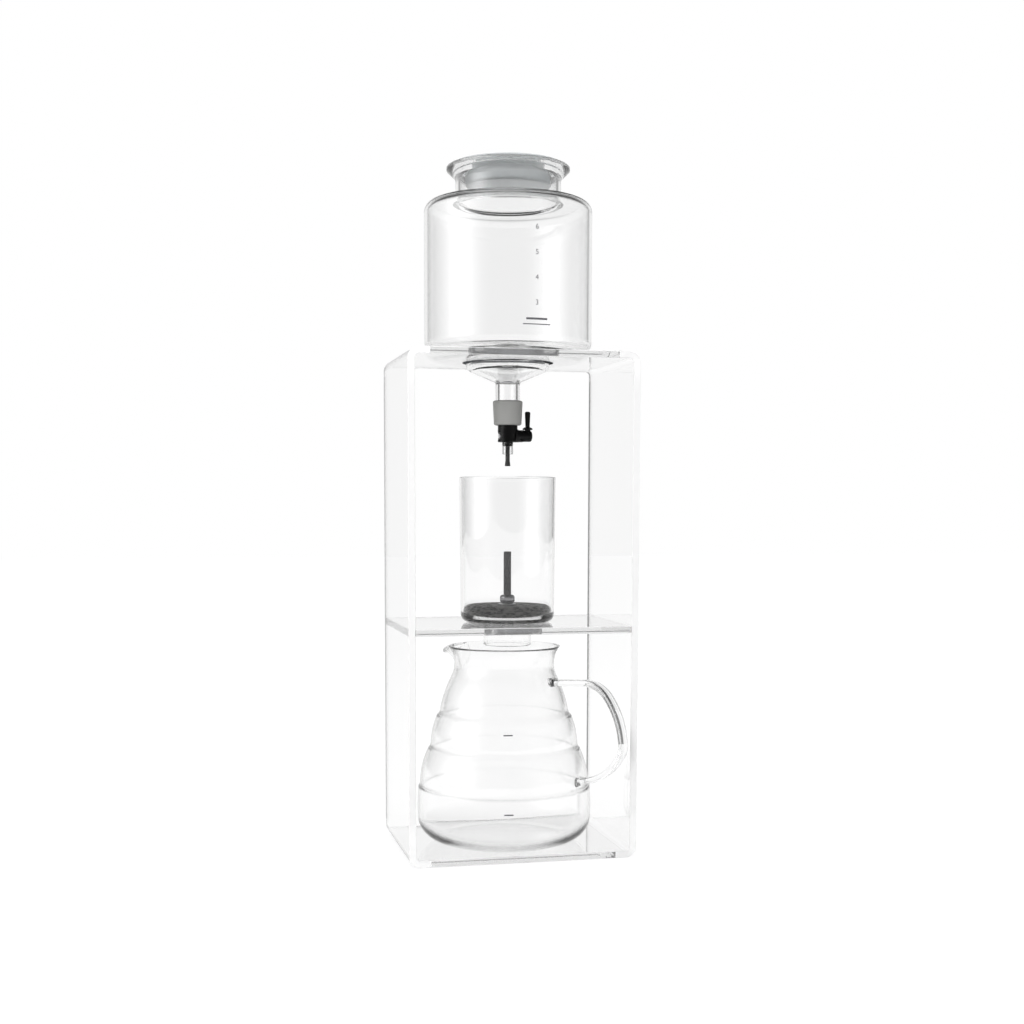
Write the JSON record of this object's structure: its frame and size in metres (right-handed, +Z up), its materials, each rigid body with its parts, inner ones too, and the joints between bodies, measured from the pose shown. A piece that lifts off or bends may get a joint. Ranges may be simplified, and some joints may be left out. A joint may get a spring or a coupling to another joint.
{
  "type": "cold drip coffee tower",
  "caption": "Clear stand with a glass water tank, a drip valve, a glass coffee chamber with a steel filter, and a glass server below.",
  "frame": {"origin": "middle of the footprint, on the surface that the tower stands on", "axes": "+Z up; -Y is the open front, from which the server is drawn; +X is to the right, where the valve's lever is"},
  "size_m": [0.165, 0.1335, 0.4954],
  "materials": {
    "clear_acrylic": "clear sheet with polished edges",
    "clear_glass": "clear heat-proof glass",
    "frosted_plastic": "translucent moulding, satin",
    "grey_silicone": "soft, matt",
    "clear_silicone": "soft, translucent",
    "black_silicone": "soft, matt",
    "black_plastic": "fine satin moulding",
    "brushed_steel": "brushed stainless steel",
    "steel_mesh": "fine woven stainless steel",
    "chrome": "bright plating"
  },
  "bodies": {
    "stand": {"stand_frame": "clear_acrylic", "middle_shelf": "clear_acrylic"},
    "tank": {"water_tank": "clear_glass", "tube_sleeve": "grey_silicone", "valve_body": "black_plastic", "drip_nozzle": "black_silicone", "drip_sleeve": "clear_silicone"},
    "lid": {"tank_lid": "frosted_plastic"},
    "valve": {"valve_plug": "black_plastic", "valve_plug_seals": "black_silicone", "valve_plug_washer": "brushed_steel", "valve_plug_screw": "brushed_steel", "valve_lever": "black_plastic"},
    "chamber": {"coffee_chamber": "clear_glass"},
    "filter": {"filter_mesh": "steel_mesh", "filter_gasket": "black_silicone", "filter_plate": "brushed_steel", "filter_spacer": "brushed_steel", "filter_cap_nut": "chrome", "filter_pin": "brushed_steel", "filter_washer": "brushed_steel", "filter_nut": "chrome", "filter_grip": "black_silicone"},
    "server": {"coffee_server": "clear_glass", "server_handle": "clear_glass"}
  },
  "joints": [
    {"name": "tank_lift", "type": "slide", "parent": "stand", "child": "tank", "axis": [0, 0, 1], "range_m": [0, 0.09]},
    {"name": "lid_lift", "type": "slide", "parent": "tank", "child": "lid", "axis": [0, 0, 1], "range_m": [0, 0.04]},
    {"name": "valve_turn", "type": "hinge", "parent": "tank", "child": "valve", "pos_m": [0, 0, 0.3026], "axis": [1, 0, 0], "range_deg": [0, 90]},
    {"name": "chamber_lift", "type": "slide", "parent": "stand", "child": "chamber", "axis": [0, 0, 1], "range_m": [0, 0.02]},
    {"name": "filter_lift", "type": "slide", "parent": "chamber", "child": "filter", "axis": [0, 0, 1], "range_m": [0, 0.035]},
    {"name": "server_slide", "type": "slide", "parent": "stand", "child": "server", "axis": [0, -1, 0], "range_m": [0, 0.2]}
  ]
}
